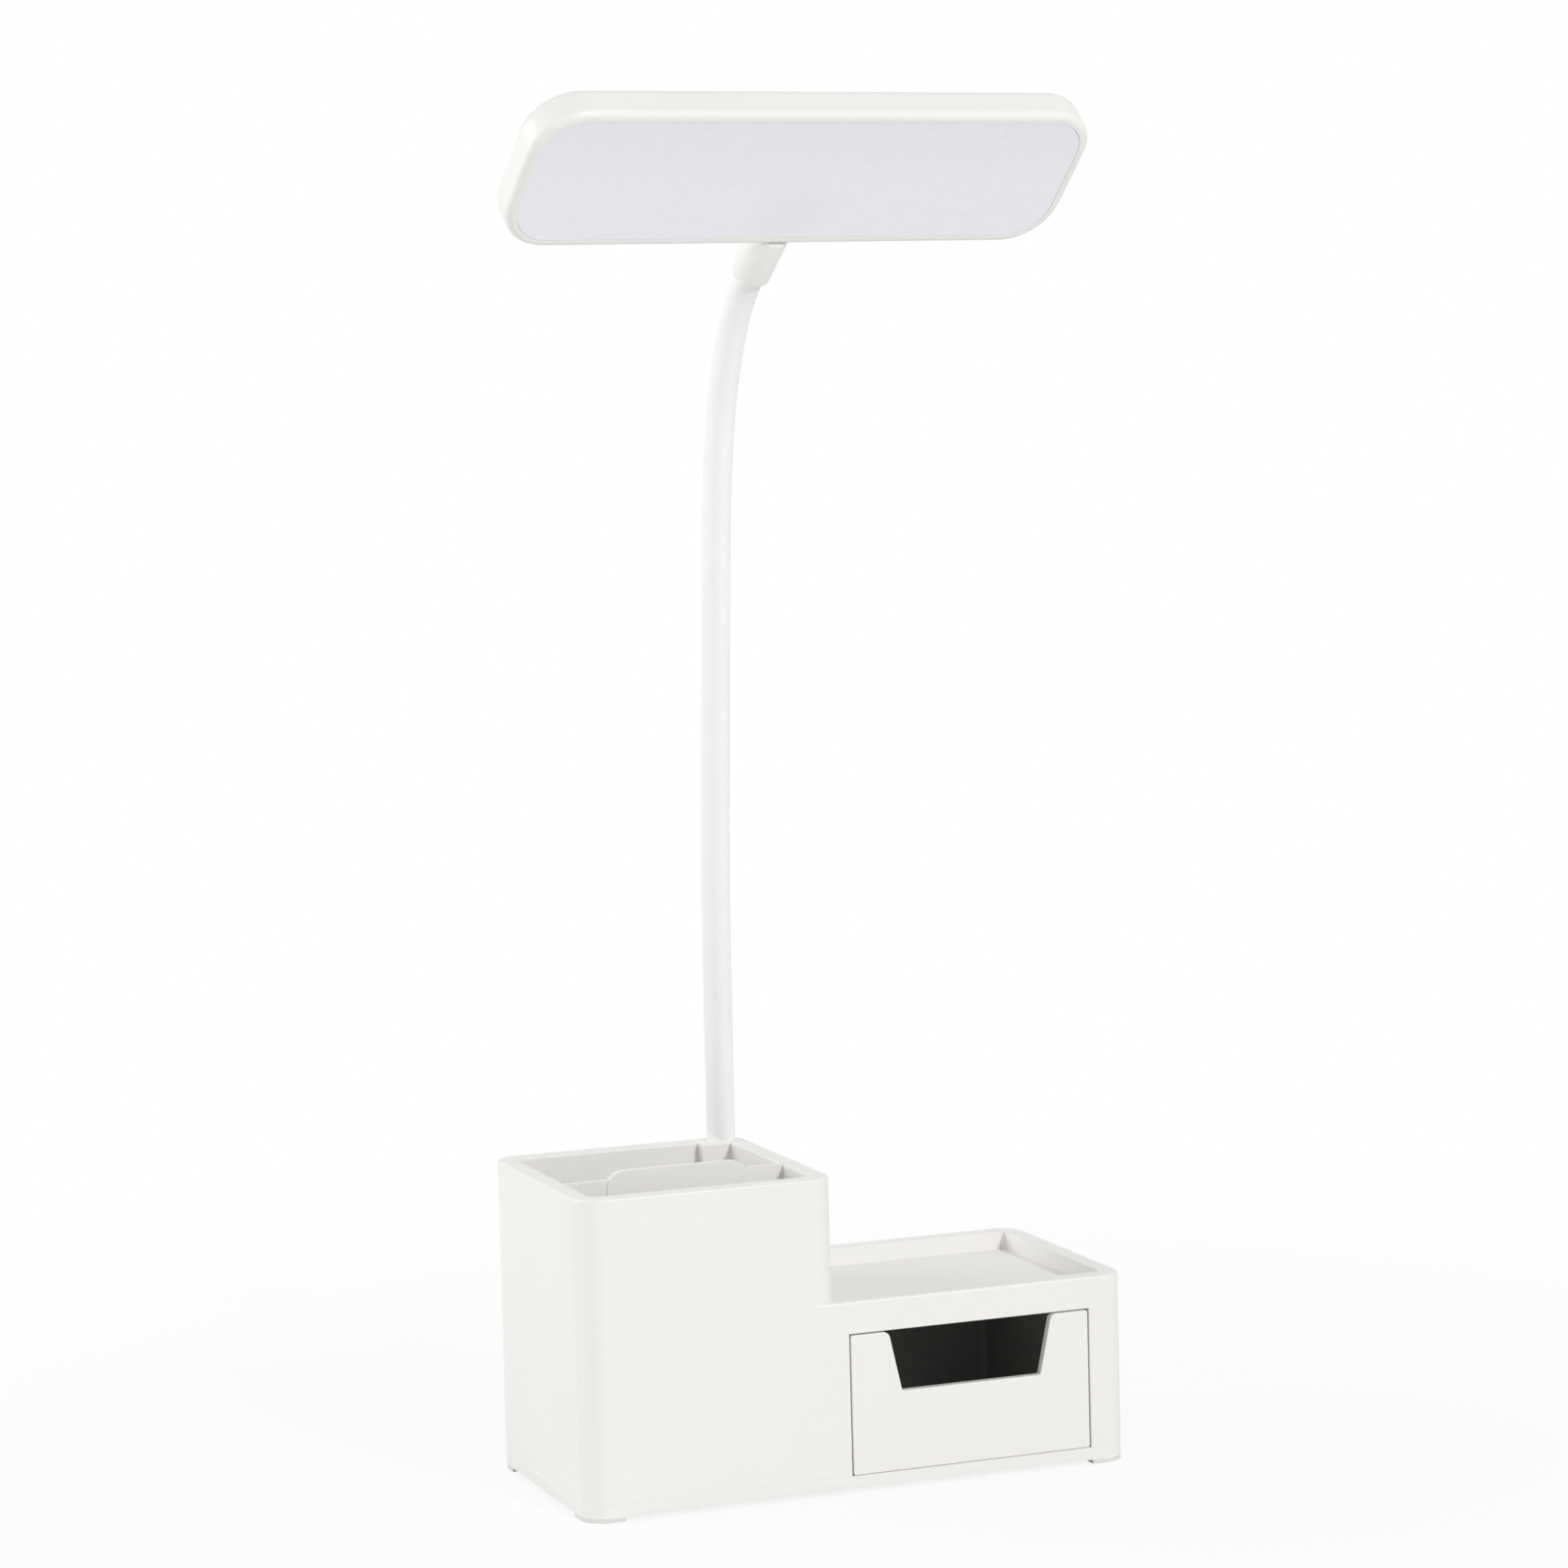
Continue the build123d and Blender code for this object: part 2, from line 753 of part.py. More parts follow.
ferrule_low = boss_low - ferrule_tail
clip_high = boss_low - clip_play
clip_low = clip_high - clip_thickness
neck_ferrule = rod(neck_x, neck_y, ferrule_low, cup_height, ferrule_radius)
neck_ferrule -= rod(neck_x, neck_y, ferrule_low, cup_height, stub_radius + ferrule_play)
groove_ring = rod(neck_x, neck_y, clip_low - clip_play, boss_low, 2 * ferrule_radius)
groove_ring -= rod(neck_x, neck_y, clip_low - clip_play, boss_low,
                   ferrule_radius - clip_groove)
neck_ferrule -= groove_ring
clip_hole = ferrule_radius - clip_groove + clip_play
neck_clip = rod(neck_x, neck_y, clip_low, clip_high, clip_radius) & \
    block(neck_x - clip_radius, neck_x + clip_radius, neck_y - clip_depth / 2,
          neck_y + clip_depth / 2, clip_low, clip_high)
neck_clip -= rod(neck_x, neck_y, clip_low, clip_high, clip_hole)
clip_mouth = clip_hole * clip_mouth_share
neck_clip -= block(neck_x, neck_x + clip_radius, neck_y - clip_mouth, neck_y + clip_mouth,
                   clip_low, clip_high)


# ---------------------------------------------------------------- head frame
# local x along the panel, local y from the collar outwards, local z out of the lit face
end_lean = centre(neck_length)[2]
head_up = ahead * math.sin(end_lean) + up * math.cos(end_lean)
head_out = ahead * math.cos(end_lean) - up * math.sin(end_lean)
half_length = head_length / 2
half_width = head_width / 2
axis_depth = head_thickness - head_wall - nut_radius - nut_gap
collar_top_y = -half_width - stub_length - washer_thickness - washer_play
collar_base_y = collar_top_y - collar_length
head_origin = spot(neck_length) + head_up * (collar_start - collar_base_y)
head_origin += head_out * axis_depth
head_place = Plane(origin=head_origin, x_dir=side, z_dir=head_out).location
head_back = -head_thickness
head_boss_x = half_length - head_boss_end_inset
head_boss_y = half_width - head_boss_side_inset
strip_length = head_length - 2 * strip_end_inset
head_lead_level = head_thickness - head_wall - head_lead_radius - head_lead_gap


def plate(half_x, y0, y1, z0, z1, radius):
    return slab(-half_x, half_x, y0, y1, z0, z1, radius)


def tube_y(y0, y1, radius):
    # round bar on the swivel axis
    return rod_y(0, -axis_depth, y0, y1, radius)


def make_head_housing():
    body = plate(half_length, -half_width, half_width, head_back, -bezel_depth, head_corner)
    body = round_top(body, head_back, head_back_round)
    body += tube_y(-half_width - stub_length, -half_width + head_wall, stub_outer) & \
        block(-half_length, half_length, -half_width - 2 * stub_length,
              -half_width + head_wall, head_back - stub_length, -bezel_depth)
    # its face is a whole disc, just clear of the bezel's side
    body += tube_y(-half_width - stub_length, -half_width - stub_play, stub_outer)
    inner = head_corner - head_wall
    cavity = plate(half_length - head_wall, -half_width + head_wall, half_width - head_wall,
                   head_back + head_wall, -bezel_depth, inner)
    cavity = round_top(cavity, head_back + head_wall, head_inner_round)
    for x in (-head_boss_x, head_boss_x):
        for y in (-head_boss_y, head_boss_y):
            cavity -= rod(x, y, head_back, backing_low, head_boss_radius)
    body -= cavity
    body -= tube_y(-half_width - 2 * stub_length, -half_width + 2 * head_wall,
                   swivel_radius + swivel_play)
    for x in (-head_boss_x, head_boss_x):
        for y in (-head_boss_y, head_boss_y):
            body -= rod(x, y, backing_low - head_screw_length, backing_low,
                        head_screw_radius)
    return body


def make_bezel():
    ring = plate(half_length, -half_width, half_width, -bezel_depth, 0, head_corner)
    ring = round_top(ring, 0, bezel_round)
    opening = bezel_rim - diffuser_play
    ring -= plate(half_length - opening, -half_width + opening, half_width - opening,
                  -bezel_depth, 0, head_corner - opening)
    ring -= plate(half_length - bezel_seat, -half_width + bezel_seat,
                  half_width - bezel_seat, -bezel_depth, -diffuser_step,
                  head_corner - bezel_seat)
    return ring


def make_diffuser():
    seat = bezel_seat + diffuser_play
    flange = plate(half_length - seat, -half_width + seat, half_width - seat, -bezel_depth,
                   -diffuser_step - board_play, head_corner - seat)
    lens = plate(half_length - bezel_rim, -half_width + bezel_rim, half_width - bezel_rim,
                 -bezel_depth, -diffuser_recess, head_corner - bezel_rim)
    return flange + lens


guide_low = -bezel_depth - guide_thickness
reflector_low = guide_low - reflector_thickness
backing_low = reflector_low - backing_thickness
guide_half = half_length - head_wall - guide_side_gap
guide_front = half_width - guide_front_gap
guide_back = -half_width + guide_back_gap
guide_corner = head_corner - head_wall - guide_side_gap


def make_backing():
    sheet = plate(guide_half + backing_side_margin, guide_back - backing_side_margin,
                  guide_front + backing_margin, backing_low, reflector_low, guide_corner)
    for x in (-head_boss_x, head_boss_x):
        for y in (-head_boss_y, head_boss_y):
            sheet -= rod(x, y, backing_low, reflector_low, head_screw_radius + board_play)
            sheet -= rod(x, y, reflector_low - head_screw_head_height, reflector_low,
                         head_screw_head + board_play)
    return sheet


def make_head_screws():
    screws = []
    for x in (-head_boss_x, head_boss_x):
        for y in (-head_boss_y, head_boss_y):
            screw = rod(x, y, reflector_low - head_screw_head_height, reflector_low,
                        head_screw_head)
            screw += rod(x, y, backing_low - head_screw_length, reflector_low,
                         head_screw_radius)
            screws.append(screw)
    return Compound(screws)


def make_chips():
    chips = []
    pitch = strip_length / chip_count
    for i in range(chip_count):
        x = -strip_length / 2 + (i + 0.5) * pitch
        z0 = reflector_low + chip_rise
        chips.append(block(x - chip_length / 2, x + chip_length / 2,
                           strip_face - chip_thickness, strip_face, z0, z0 + chip_height))
    return Compound(chips)


def make_collar():
    axis = Plane(origin=(0, collar_base_y, -axis_depth), x_dir=(1, 0, 0), z_dir=(0, 1, 0))
    cone = axis.location * (Pos(0, 0, collar_length / 2) * Cone(collar_foot_radius,
                                                               collar_radius, collar_length))
    foot = [e for e in cone.edges() if abs(e.center().Y - collar_base_y) < sliver]
    collar = fillet(foot, collar_foot_round)
    head_edge = [e for e in collar.edges() if abs(e.center().Y - collar_top_y) < sliver]
    collar = fillet(head_edge, edge_round)
    collar -= tube_y(collar_base_y, collar_base_y + collar_grip, neck_radius + collar_play)
    collar -= tube_y(collar_base_y, collar_top_y - collar_web, chamber_radius)
    collar -= tube_y(collar_base_y, collar_top_y, swivel_radius + swivel_play)
    return collar


def make_swivel_tube():
    flange_top = collar_top_y - collar_web - board_play
    tube = tube_y(flange_top, -half_width + head_wall + nut_length, swivel_radius)
    tube += tube_y(flange_top - swivel_flange_height, flange_top, swivel_flange)
    return tube - tube_y(collar_base_y, 0, swivel_bore)


def make_washer():
    face = -half_width - stub_length
    washer = tube_y(face - washer_thickness, face, washer_radius)
    return washer - tube_y(face - washer_thickness, face, swivel_radius + swivel_play)


def make_nut():
    inner = -half_width + head_wall
    nut = tube_y(inner, inner + nut_length, nut_radius)
    return nut - tube_y(inner, inner + nut_length, swivel_radius)


def make_head_lead():
    x_end = half_length - head_lead_end_inset
    y_end = half_width - head_lead_edge_inset
    entry = -half_width + head_wall
    points = [(0, entry - nut_length, -axis_depth), (0, guide_back - head_lead_drop, -axis_depth),
              (0, guide_back - head_lead_level_gap, -head_lead_level),
              (x_end / 3, 0, -head_lead_level), (x_end, y_end, -head_lead_level),
              (x_end, y_end, backing_low)]
    path = FilletPolyline(*points, radius=head_lead_bend)
    start = Plane(origin=path @ 0, z_dir=path % 0)
    return sweep(start * Circle(head_lead_radius), path=path)


strip_face = guide_front + chip_thickness + diffuser_play
head_housing = make_head_housing()
head_bezel = make_bezel()
diffuser = make_diffuser()
light_guide = plate(guide_half, guide_back, guide_front, guide_low, -bezel_depth, guide_corner)
reflector_sheet = plate(guide_half, guide_back, guide_front, reflector_low, guide_low,
                        guide_corner)
backing_plate = make_backing()
head_screws = make_head_screws()
led_strip = block(-strip_length / 2, strip_length / 2, strip_face,
                  strip_face + strip_thickness, reflector_low, -bezel_depth - diffuser_play)
led_chips = make_chips()
neck_collar = make_collar()
swivel_tube = make_swivel_tube()
friction_washer = make_washer()
swivel_nut = make_nut()
head_lead = make_head_lead()

# ---------------------------------------------------------------- write the pieces
pieces = {
    "base_shell": base_shell,
    "bottom_plate": bottom_plate,
    "rubber_feet": rubber_feet,
    "plate_screws": plate_screws,
    "pen_divider": pen_divider,
    "drawer_front": drawer_front,
    "drawer_tub": drawer_tub,
    "counterweight": counterweight,
    "battery_cell": battery_cell,
    "control_board": control_board,
    "usb_inlet": usb_inlet,
    "tactile_switch": tactile_switch,
    "power_button": power_button,
    "base_lead": base_lead,
    "neck_ferrule": neck_ferrule,
    "neck_clip": neck_clip,
}
for k in range(link_count):
    pieces[f"neck_sleeve_{k}"] = neck_sleeves[k]
    pieces[f"neck_core_{k}"] = neck_cores[k]

head_pieces = {
    "head_housing": head_housing,
    "head_bezel": head_bezel,
    "diffuser": diffuser,
    "light_guide": light_guide,
    "reflector_sheet": reflector_sheet,
    "backing_plate": backing_plate,
    "head_screws": head_screws,
    "led_strip": led_strip,
    "led_chips": led_chips,
    "neck_collar": neck_collar,
    "swivel_tube": swivel_tube,
    "friction_washer": friction_washer,
    "swivel_nut": swivel_nut,
    "head_lead": head_lead,
}
for name, shape in head_pieces.items():
    pieces[name] = head_place * shape

to_desk = Location((-base_length / 2, -base_depth / 2, foot_height))
os.makedirs("parts", exist_ok=True)
for name, shape in pieces.items():
    export_step(to_desk * shape, f"parts/{name}.step")

# joint positions and directions, in the finished frame, for the record
for k in range(link_count - 1):
    p = to_desk * Pos(*spot(pivots[k]))
    print("pivot", k + 1, p.position, "lean", round(math.degrees(centre(pivots[k])[2]), 2))
swivel_point = head_place * Pos(0, -half_width, -axis_depth)
print("swivel", (to_desk * swivel_point).position, "axis", head_up)
print("neck end", centre(neck_length)[:2], "head origin", (to_desk * head_place).position)
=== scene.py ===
import json
import math

import bpy
from mathutils import Matrix, Vector


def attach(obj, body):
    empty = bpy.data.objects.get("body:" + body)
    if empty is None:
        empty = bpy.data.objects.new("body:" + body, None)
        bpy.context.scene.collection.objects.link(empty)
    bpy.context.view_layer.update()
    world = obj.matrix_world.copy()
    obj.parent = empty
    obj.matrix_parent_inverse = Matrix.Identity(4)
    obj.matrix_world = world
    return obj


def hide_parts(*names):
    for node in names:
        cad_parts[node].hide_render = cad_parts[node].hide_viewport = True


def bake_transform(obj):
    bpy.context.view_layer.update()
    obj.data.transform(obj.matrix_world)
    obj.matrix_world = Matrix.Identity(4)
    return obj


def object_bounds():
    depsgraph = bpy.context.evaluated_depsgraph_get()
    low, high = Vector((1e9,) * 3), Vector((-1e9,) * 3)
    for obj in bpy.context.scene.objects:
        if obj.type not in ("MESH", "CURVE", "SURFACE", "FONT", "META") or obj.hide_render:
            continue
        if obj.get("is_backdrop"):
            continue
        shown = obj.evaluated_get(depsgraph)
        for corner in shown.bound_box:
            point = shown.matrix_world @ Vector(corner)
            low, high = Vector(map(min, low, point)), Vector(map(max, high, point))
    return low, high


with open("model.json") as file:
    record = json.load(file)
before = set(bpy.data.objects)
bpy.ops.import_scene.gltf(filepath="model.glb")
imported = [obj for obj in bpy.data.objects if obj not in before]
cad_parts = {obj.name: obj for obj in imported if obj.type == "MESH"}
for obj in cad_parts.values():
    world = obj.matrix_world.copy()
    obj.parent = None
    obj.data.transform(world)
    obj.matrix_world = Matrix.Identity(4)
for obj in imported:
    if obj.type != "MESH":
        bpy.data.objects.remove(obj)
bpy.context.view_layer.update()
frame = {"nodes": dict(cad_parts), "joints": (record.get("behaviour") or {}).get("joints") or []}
joints = {joint["name"]: joint for joint in frame["joints"]}
swivel = Vector(joints["head_swivel"]["pos_m"])  # on the panel's edge, above the neck
panelUp = Vector(joints["head_swivel"]["axis"]).normalized()
panelRight = Vector(joints["neck_bend_1"]["axis"]).normalized()
panelOut = panelRight.cross(panelUp)  # out of the lit face
bpy.ops.object.select_all(action="DESELECT")
print("frame loaded")


def rangeNode(tree, source, fromRange, toRange, smooth=True):
    node = tree.nodes.new("ShaderNodeMapRange")
    node.interpolation_type = "SMOOTHSTEP" if smooth else "LINEAR"
    node.inputs["From Min"].default_value, node.inputs["From Max"].default_value = fromRange
    node.inputs["To Min"].default_value, node.inputs["To Max"].default_value = toRange
    tree.links.new(source, node.inputs["Value"])
    return node.outputs["Result"]


def mathNode(tree, operation, first, second):
    node = tree.nodes.new("ShaderNodeMath")
    node.operation = operation
    tree.links.new(first, node.inputs[0])
    tree.links.new(second, node.inputs[1])
    return node.outputs["Value"]


def vectorNode(tree, operation, source, value=None):
    node = tree.nodes.new("ShaderNodeVectorMath")
    node.operation = operation
    tree.links.new(source, node.inputs[0])
    if value is not None:
        node.inputs[1].default_value = value
    return node.outputs["Value"]


# what a finish has where its own line says nothing else
plain = {"metal": 0.0, "shine": 0.5, "coat": 0.0, "stretch": (1, 1, 1), "roughSpread": 0.05,
         "cloud": 22, "cloudDetail": 5, "cloudFrom": 0.3, "cloudTo": 0.7, "spread": 0.015,
         "grain": 1400, "grainDetail": 3, "relief": 0.12, "depth": 0.00005}


# every finish has a slow change of tone and a fine grain, both on Object coordinates
def surface(name, ownLook):
    look = {**plain, **ownLook}
    mat = bpy.data.materials.new(name)
    mat.use_nodes = True
    nodes = mat.node_tree.nodes
    links = mat.node_tree.links
    shader = nodes["Principled BSDF"]
    shader.inputs["Metallic"].default_value = look["metal"]
    shader.inputs["Specular IOR Level"].default_value = look["shine"]
    shader.inputs["Coat Weight"].default_value = look["coat"]

    place = nodes.new("ShaderNodeTexCoord")
    stretch = nodes.new("ShaderNodeMapping")
    stretch.inputs["Scale"].default_value = look["stretch"]
    links.new(place.outputs["Object"], stretch.inputs["Vector"])

    # slow cloudy change of tone
    cloud = nodes.new("ShaderNodeTexNoise")
    cloud.inputs["Scale"].default_value = look["cloud"]
    cloud.inputs["Detail"].default_value = look["cloudDetail"]
    links.new(stretch.outputs["Vector"], cloud.inputs["Vector"])
    tone = nodes.new("ShaderNodeValToRGB")
    base = Vector(look["colour"])
    darker, lighter = tone.color_ramp.elements
    darker.position, lighter.position = look["cloudFrom"], look["cloudTo"]
    darker.color = (*(base * (1 - look["spread"])), 1)
    lighter.color = (*(base * (1 + look["spread"])), 1)
    links.new(cloud.outputs["Fac"], tone.inputs["Fac"])
    links.new(tone.outputs["Color"], shader.inputs["Base Color"])

    # fine grain for the roughness and the relief
    grain = nodes.new("ShaderNodeTexNoise")
    grain.inputs["Scale"].default_value = look["grain"]
    grain.inputs["Detail"].default_value = look["grainDetail"]
    links.new(stretch.outputs["Vector"], grain.inputs["Vector"])
    roughRange = (look["rough"] - look["roughSpread"], look["rough"] + look["roughSpread"])
    rough = rangeNode(mat.node_tree, grain.outputs["Fac"], (0, 1), roughRange, smooth=False)
    links.new(rough, shader.inputs["Roughness"])
    relief = nodes.new("ShaderNodeBump")
    relief.inputs["Strength"].default_value = look["relief"]
    relief.inputs["Distance"].default_value = look["depth"]
    links.new(grain.outputs["Fac"], relief.inputs["Height"])
    links.new(relief.outputs["Normal"], shader.inputs["Normal"])
    return mat


finishes = {
    "white_plastic": surface("moulded white", {
        "colour": (0.895, 0.886, 0.863), "rough": 0.42, "spread": 0.008, "cloud": 14,
        "grain": 2600, "relief": 0.10}),
    "charcoal_plastic": surface("dark tub plastic", {
        "colour": (0.30, 0.30, 0.285), "rough": 0.55, "spread": 0.06, "grain": 1800,
        "relief": 0.2}),
    "foot_rubber": surface("clear pale rubber", {
        "colour": (0.76, 0.755, 0.725), "rough": 0.6, "spread": 0.03, "grain": 900,
        "relief": 0.2}),
    "screw_steel": surface("black zinc screw", {
        "colour": (0.18, 0.18, 0.19), "metal": 1.0, "rough": 0.35, "spread": 0.08,
        "grain": 1500}),
    "raw_steel": surface("raw plate steel", {
        "colour": (0.46, 0.45, 0.44), "metal": 1.0, "rough": 0.48, "spread": 0.12,
        "stretch": (0.15, 1, 1), "grain": 1500, "relief": 0.3}),
    "bright_steel": surface("turned bright steel", {
        "colour": (0.62, 0.61, 0.60), "metal": 1.0, "rough": 0.26, "spread": 0.05,
        "stretch": (1, 1, 8), "grain": 700}),
    "core_steel": surface("wound core steel", {
        "colour": (0.50, 0.50, 0.50), "metal": 1.0, "rough": 0.34, "spread": 0.08,
        "stretch": (0.1, 0.1, 6), "grain": 160, "relief": 0.6, "depth": 0.0003}),
    "head_aluminium": surface("rolled aluminium", {
        "colour": (0.72, 0.72, 0.73), "metal": 1.0, "rough": 0.38, "spread": 0.05,
        "stretch": (0.1, 1, 1), "grain": 1600}),
    "cell_wrap": surface("shrunk cell wrap", {
        "colour": (0.10, 0.24, 0.46), "rough": 0.28, "spread": 0.06, "coat": 0.3,
        "grain": 300, "relief": 0.15}),
    "board_green": surface("solder mask", {
        "colour": (0.020, 0.13, 0.055), "rough": 0.32, "spread": 0.25, "cloud": 260,
        "coat": 0.2, "grain": 900}),
    "switch_black": surface("switch moulding", {
        "colour": (0.03, 0.03, 0.032), "rough": 0.45, "spread": 0.1, "grain": 1600}),
    "wire_white": surface("wire jacket", {
        "colour": (0.80, 0.80, 0.78), "rough": 0.5, "spread": 0.03, "grain": 1200}),
    "neck_silicone": surface("smooth pale silicone", {
        "colour": (0.915, 0.912, 0.912), "rough": 0.55, "spread": 0.012, "cloud": 40,
        "grain": 1900, "relief": 0.10}),
    "diffuser_acrylic": surface("frosted diffuser", {
        "colour": (0.915, 0.907, 0.955), "rough": 0.5, "spread": 0.014, "cloud": 320,
        "grain": 1300, "relief": 0.10}),
    "guide_acrylic": surface("light guide", {
        "colour": (0.80, 0.83, 0.84), "rough": 0.12, "spread": 0.02, "grain": 700}),
    "reflector_white": surface("reflector film", {
        "colour": (0.90, 0.90, 0.90), "rough": 0.25, "spread": 0.01, "grain": 400}),
    "strip_white": surface("strip board", {
        "colour": (0.82, 0.82, 0.80), "rough": 0.35, "spread": 0.03, "grain": 800}),
    "led_phosphor": surface("phosphor", {
        "colour": (0.86, 0.72, 0.12), "rough": 0.4, "spread": 0.06, "grain": 2500}),
    "washer_nylon": surface("natural nylon", {
        "colour": (0.72, 0.70, 0.64), "rough": 0.45, "spread": 0.04, "grain": 900}),
}

# painted shade: the lit panel is drawn a little darker towards its far edge, where its rim
# shades it, and in a shaded patch over the neck's joint
paintedShade = {"edgeFrom": 0.0184, "edgeTo": 0.0554, "edgeTone": 0.955,
        "jointUp": 0.0131, "jointOut": 0.0067, "jointReach": 0.020, "jointTone": 0.965}
tree = finishes["diffuser_acrylic"].node_tree
place = tree.nodes.new("ShaderNodeTexCoord").outputs["Object"]
start = swivel.dot(panelUp)
edge = rangeNode(tree, vectorNode(tree, "DOT_PRODUCT", place, panelUp),
                 (start + paintedShade["edgeFrom"], start + paintedShade["edgeTo"]), (1.0, paintedShade["edgeTone"]))
# painted shade: a darker patch centred just over the neck's joint
overJoint = swivel + panelUp * paintedShade["jointUp"] + panelOut * paintedShade["jointOut"]
patch = rangeNode(tree, vectorNode(tree, "DISTANCE", place, overJoint),
                  (0.0, paintedShade["jointReach"]), (paintedShade["jointTone"], 1.0))
shader = tree.nodes["Principled BSDF"]
# painted shade: the panel's own colour is scaled down by the edge shade and the joint patch
shade = tree.nodes.new("ShaderNodeVectorMath")
shade.operation = "SCALE"
tree.links.new(shader.inputs["Base Color"].links[0].from_socket, shade.inputs["Vector"])
tree.links.new(mathNode(tree, "MULTIPLY", edge, patch), shade.inputs["Scale"])
tree.links.new(shade.outputs["Vector"], shader.inputs["Base Color"])
print("finishes made", len(finishes))

for obj in frame["nodes"].values():
    slot = obj.data.materials[0].name.split(".")[0]  # the record's slot of that node
    obj.data.materials.clear()
    obj.data.materials.append(finishes[slot])
print("finishes put on the nodes")


smoothAngle = math.radians(35)  # sharper edges than this stay crisp

# the neck's sleeve, one smooth tube from half link to half link

neck = {
    "radius": 0.0047, "wall": 0.00055, "sides": 56, "step": 0.003,
    "reach": 0.018, "footReach": 0.012,  # how far each piece runs on past its pivot
    "lengths": (0.014, *[0.036] * 7, 0.0212),  # of the nine links, from the foot up
    "turns": (0.6, 0.0, 1.4, 2.0, 0.0, 0.0, 5.8, 16.0, 20.8),  # degrees that each one bends
    "straightUnder": 1e-6,
    "tip": 0.01065,  # the part inside the collar
}


# place and lean of the neck's middle line at a length s from its foot, in its own plane
def along(s):
    y, z, lean, start = 0.0, 0.0, 0.0, 0.0
    for length, turn in zip(neck["lengths"] + (neck["tip"],), neck["turns"] + (0.0,)):
        part = min(max(s - start, 0.0), length)
        bend = math.radians(turn) * part / length
        if bend:
            r = part / bend
            y -= r * (math.cos(lean) - math.cos(lean + bend))
            z += r * (math.sin(lean + bend) - math.sin(lean))
        else:
            y -= part * math.sin(lean)
            z += part * math.cos(lean)
        lean += bend
        start += length
    return Vector((0.0, y, z)), lean


yaw = math.atan2(panelRight.y, panelRight.x)
turnRound = Matrix.Rotation(yaw, 4, "Z")
foot = Vector(joints["neck_bend_1"]["pos_m"]) - turnRound @ along(neck["lengths"][0])[0]
ends = [sum(neck["lengths"][:n]) for n in range(len(neck["lengths"]) + 1)]
pivots = ends[1:-1]
cuts = [0.0] + [p + neck["reach"] for p in pivots[:-1]] + [ends[-1] + neck["tip"]]

for number, pivot in enumerate(pivots, 1):
    low, high = cuts[number - 1], cuts[number]
    bpy.ops.object.select_all(action="DESELECT")
    at, lean = along(low)
    bpy.ops.mesh.primitive_circle_add(vertices=neck["sides"], radius=neck["radius"],
                                      location=at, rotation=(lean, 0, 0))
    tube = bpy.context.object
    tube.name = "neck_skin_" + str(number)
    bpy.ops.object.transform_apply(location=True, rotation=True, scale=True)
    bpy.ops.object.mode_set(mode="EDIT")
    bpy.ops.mesh.select_all(action="SELECT")
    marks = sorted([low, high] + [e for e in ends if low < e < high])
    for a, b in zip(marks, marks[1:]):
        here, leanHere = along(a)
        there, leanThere = along(b)
        steps = max(1, round((b - a) / neck["step"]))
        bend = leanThere - leanHere
        if bend > neck["straightUnder"]:
            r = (b - a) / bend
            centre = here + r * Vector((0, -math.cos(leanHere), -math.sin(leanHere)))
            bpy.ops.mesh.spin(steps=steps, angle=-bend, center=centre, axis=(1, 0, 0))
        else:
            for n in range(steps):
                bpy.ops.mesh.extrude_region_move(
                    TRANSFORM_OT_translate={"value": (there - here) / steps})
    bpy.ops.mesh.select_all(action="SELECT")
    bpy.ops.mesh.normals_make_consistent(inside=False)
    bpy.ops.object.mode_set(mode="OBJECT")
    farEnd = along(high)[0]
    miss = min((v.co - farEnd).length for v in tube.data.vertices) - neck["radius"]
    print("neck piece", number, "misses its end by", round(miss * 1000, 3), "mm")
    wall = tube.modifiers.new("wall", "SOLIDIFY")
    wall.thickness = neck["wall"]
    wall.offset = -1
    bpy.ops.object.modifier_apply(modifier=wall.name)
    tube.location = foot
    tube.rotation_euler = (0, 0, yaw)
    bpy.ops.object.transform_apply(location=True, rotation=True, scale=True)
    bpy.ops.object.shade_smooth_by_angle(angle=smoothAngle)
    tube.data.materials.append(finishes["neck_silicone"])
    reach = neck["footReach"] if number == 1 else neck["reach"]
    foot + turnRound @ along(pivot - reach)[0]
    foot + turnRound @ along(pivot + reach)[0]
    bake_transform(tube)
    if number == 1:
        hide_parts("neck_sleeve_0", "neck_sleeve_1")
    else:
        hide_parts("neck_sleeve_" + str(number))
print("neck built")


# the collar, turned ring by ring, with a skirt that hides the swivel's stub

collar = {
    "length": 0.02045, "sides": 72, "bore": 0.00475,
    "flat": 0.0037, "round": 0.0026, "roundSteps": 8,  # the rounded lower edge
    "lip": (0.0197, 0.0068), "lipMiddle": (0.01984, 0.00677), "rim": (0.0199, 0.00668),
    "skirt": 0.00626, "web": (0.0171, 0.0195), "hole": 0.00305, "merge": 0.000001,
}
outline = []
boreTurn = math.asin((collar["bore"] - collar["flat"]) / collar["round"])
for n in range(collar["roundSteps"] + 1):
    turn = boreTurn + (math.pi / 2 - boreTurn) * n / collar["roundSteps"]
    outline.append((collar["round"] * (1 - math.cos(turn)),
                    collar["flat"] + collar["round"] * math.sin(turn)))
outline += [collar["lip"], collar["lipMiddle"], collar["rim"],
            (collar["rim"][0], collar["skirt"]),
            (collar["web"][1], collar["skirt"]), (collar["web"][1], collar["hole"]),
            (collar["web"][0], collar["hole"]), (collar["web"][0], collar["bore"]),
            outline[0]]
bpy.ops.object.select_all(action="DESELECT")
height, wide = outline[0]
bpy.ops.mesh.primitive_circle_add(vertices=collar["sides"], radius=wide,
                                  location=(0, 0, height))
